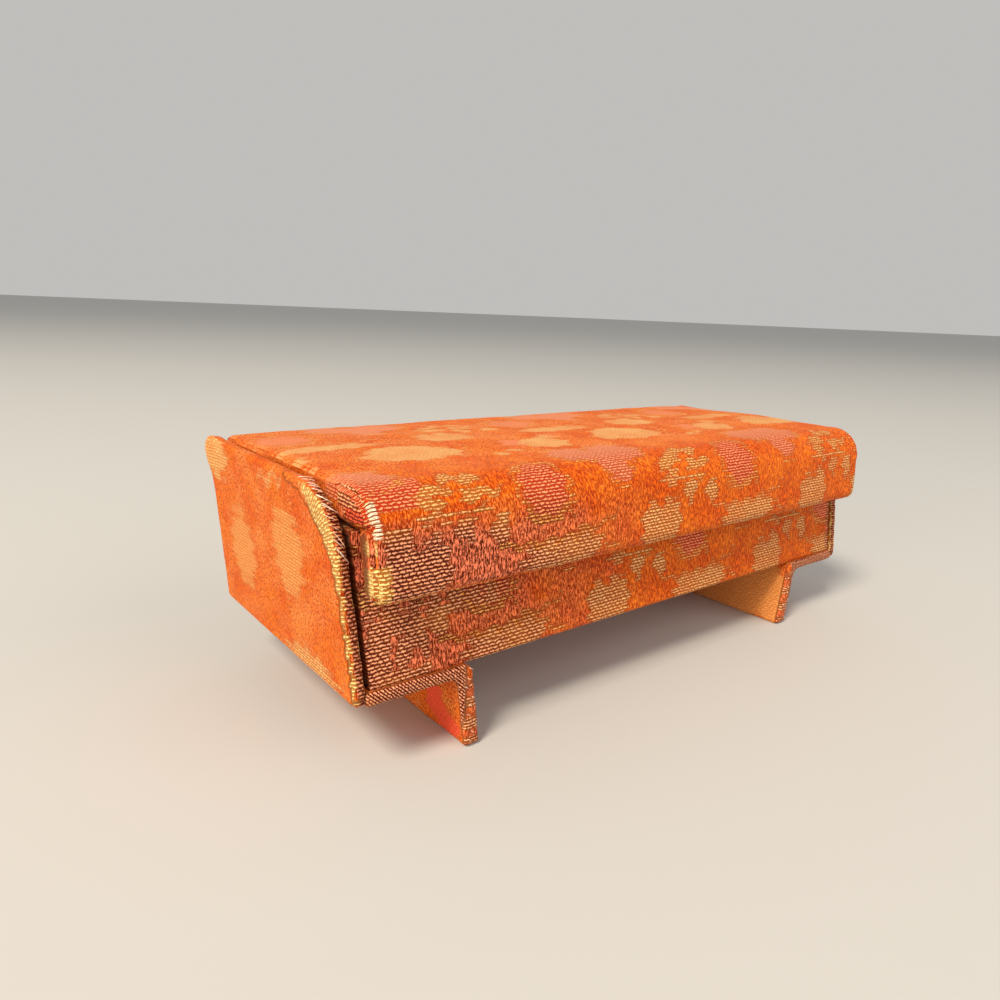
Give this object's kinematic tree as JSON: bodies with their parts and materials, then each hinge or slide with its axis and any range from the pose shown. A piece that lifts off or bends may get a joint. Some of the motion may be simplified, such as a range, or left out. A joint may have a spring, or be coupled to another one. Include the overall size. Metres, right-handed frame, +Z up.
{
  "type": "brocade keepsake box",
  "caption": "Small oblong keepsake box covered in woven brocade, with tall end boards turned under as feet and a padded, hinged lid with a rounded nose and front flap.",
  "frame": {"origin": "on the ground, under the middle of the box's overall bounding box", "axes": "+X along the box's length, to the right seen from the front; +Y from the front to the hinged back; +Z up"},
  "size_m": [0.1234, 0.0522, 0.0412],
  "materials": {
    "brocade": "woven satin ground with figured weft",
    "greyboard": "matt",
    "lining_silk": "plain woven silk",
    "cotton_wadding": "soft"
  },
  "bodies": {
    "box": {"tray_floor": "greyboard", "tray_front_wall": "greyboard", "tray_back_wall": "greyboard", "tray_left_wall": "greyboard", "tray_right_wall": "greyboard", "tray_cover": "brocade", "floor_lining": "lining_silk", "front_lining": "lining_silk", "back_lining": "lining_silk", "left_lining": "lining_silk", "right_lining": "lining_silk", "end_board_left": "greyboard", "end_board_right": "greyboard", "end_cover_left": "brocade", "end_cover_right": "brocade", "flange_left": "greyboard", "flange_right": "greyboard", "foot_left": "greyboard", "foot_right": "greyboard", "foot_cover_left": "brocade", "foot_cover_right": "brocade", "hinge_cloth_tray": "brocade"},
    "lid": {"lid_top_board": "greyboard", "lid_flap_board": "greyboard", "lid_wadding": "cotton_wadding", "lid_cover": "brocade", "lid_lining": "lining_silk", "hinge_cloth_lid": "brocade"}
  },
  "joints": [
    {"name": "lid_hinge", "type": "hinge", "parent": "box", "child": "lid", "pos_m": [0, 0.02574, 0.03495], "axis": [-1, 0, 0], "range_deg": [0, 110]}
  ]
}
